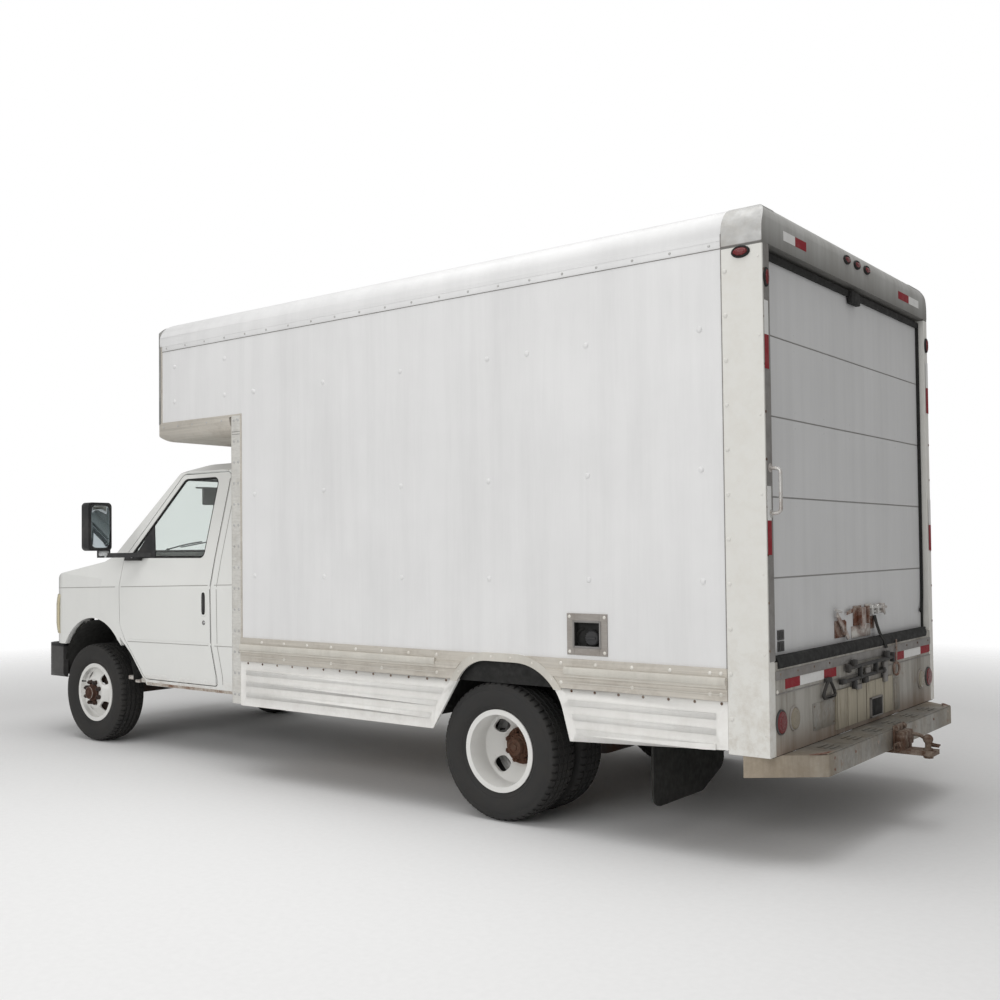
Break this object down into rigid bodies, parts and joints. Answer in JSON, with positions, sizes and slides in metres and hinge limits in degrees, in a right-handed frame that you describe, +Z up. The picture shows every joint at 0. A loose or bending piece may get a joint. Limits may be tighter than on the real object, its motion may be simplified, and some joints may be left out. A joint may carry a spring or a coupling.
{
  "type": "box truck with an attic body",
  "caption": "Van-cab box truck: hollow load body with an attic over the cab, roll-up rear door, twin rear wheels and a step bumper.",
  "frame": {"origin": "on the ground, at the middle of the length and width", "axes": "+X forward, +Y to the driver's side (left), +Z up"},
  "size_m": [6.653, 2.69, 3.03],
  "materials": {
    "chassis_black": "satin, dusty",
    "axle_black": "satin, dusty",
    "axle_iron": "rusty",
    "engine_iron": "rough",
    "tank_black": "matt",
    "exhaust_steel": "heat stained",
    "bumper_grey": "satin",
    "trim_black": "satin",
    "lamp_clear": "clear",
    "lamp_red": "gloss",
    "cab_white": "gloss",
    "body_white": "satin",
    "post_cream": "satin",
    "shutter_grey": "satin",
    "cab_lining": "matt",
    "tinted_glass": "tinted",
    "seat_cloth": "woven",
    "deck_wood": "worn",
    "rusty_steel": "rusty",
    "rusty_iron": "rusty",
    "rail_aluminium": "satin",
    "galvanised": "galvanised, dirty",
    "flap_rubber": "matt",
    "wheel_white": "gloss, dusty",
    "tyre_black": "matt"
  },
  "bodies": {
    "chassis": {"frame": "chassis_black", "front_axle": "axle_black", "rear_axle": "axle_black", "engine": "engine_iron", "fuel_tank": "tank_black", "exhaust": "exhaust_steel", "front_bumper": "bumper_grey", "grille": "trim_black", "headlamps": "lamp_clear", "wings": "cab_white", "cab_shell": "cab_white", "cab_floor": "cab_lining", "windshield": "tinted_glass", "dash": "cab_lining", "seats": "seat_cloth", "box_floor": "deck_wood", "box_side_left": "body_white", "box_side_right": "body_white", "box_front": "body_white", "attic": "body_white", "box_roof": "body_white", "rear_frame": "post_cream", "rear_door": "shutter_grey", "door_latch": "rusty_steel", "rub_rails": "rail_aluminium", "skirts": "body_white", "fuel_filler": "trim_black", "step_bumper": "galvanised", "ramp": "galvanised", "hitch": "rusty_iron", "mud_flaps": "flap_rubber", "lamps": "lamp_red"},
    "door_left": {"door_left": "cab_white", "door_glass_left": "tinted_glass", "mirror_left": "trim_black"},
    "door_right": {"door_right": "cab_white", "door_glass_right": "tinted_glass", "mirror_right": "trim_black"},
    "hood": {"hood": "cab_white"},
    "knuckle_left": {"knuckle_left": "axle_iron"},
    "knuckle_right": {"knuckle_right": "axle_iron"},
    "wheel_front_left": {"rim_front_left": "wheel_white", "tyre_front_left": "tyre_black"},
    "wheel_front_right": {"rim_front_right": "wheel_white", "tyre_front_right": "tyre_black"},
    "wheels_rear_left": {"rims_rear_left": "wheel_white", "tyres_rear_left": "tyre_black"},
    "wheels_rear_right": {"rims_rear_right": "wheel_white", "tyres_rear_right": "tyre_black"},
    "steering_wheel": {"steering_wheel": "trim_black"}
  },
  "joints": [
    {"name": "steer_left", "type": "hinge", "parent": "chassis", "child": "knuckle_left", "pos_m": [2.5865, 0.79, 0.37], "axis": [0, 0, 1], "range_deg": [-35, 35]},
    {"name": "steer_right", "type": "hinge", "parent": "chassis", "child": "knuckle_right", "pos_m": [2.5865, -0.79, 0.37], "axis": [0, 0, 1], "range_deg": [-35, 35]},
    {"name": "roll_front_left", "type": "hinge", "parent": "knuckle_left", "child": "wheel_front_left", "pos_m": [2.5865, 0.881, 0.37], "axis": [0, 1, 0], "continuous": true},
    {"name": "roll_front_right", "type": "hinge", "parent": "knuckle_right", "child": "wheel_front_right", "pos_m": [2.5865, -0.881, 0.37], "axis": [0, 1, 0], "continuous": true},
    {"name": "roll_rear_left", "type": "hinge", "parent": "chassis", "child": "wheels_rear_left", "pos_m": [-1.4265, 0.95, 0.37], "axis": [0, 1, 0], "continuous": true},
    {"name": "roll_rear_right", "type": "hinge", "parent": "chassis", "child": "wheels_rear_right", "pos_m": [-1.4265, -0.95, 0.37], "axis": [0, 1, 0], "continuous": true},
    {"name": "door_left_hinge", "type": "hinge", "parent": "chassis", "child": "door_left", "pos_m": [2.2515, 0.988, 1.05], "axis": [0, 0, -1], "range_deg": [0, 70]},
    {"name": "door_right_hinge", "type": "hinge", "parent": "chassis", "child": "door_right", "pos_m": [2.2515, -0.988, 1.05], "axis": [0, 0, 1], "range_deg": [0, 70]},
    {"name": "hood_hinge", "type": "hinge", "parent": "chassis", "child": "hood", "pos_m": [2.4625, 0, 1.366], "axis": [0, -1, 0], "range_deg": [0, 55]},
    {"name": "steering_wheel_turn", "type": "hinge", "parent": "chassis", "child": "steering_wheel", "pos_m": [1.7365, 0.5, 1.225], "axis": [-0.848, 0, 0.5299], "range_deg": [-525, 525]}
  ],
  "couplings": [
    {"joint": "steer_right", "follows": "steer_left", "ratio": 1},
    {"joint": "steering_wheel_turn", "follows": "steer_left", "ratio": 15}
  ]
}
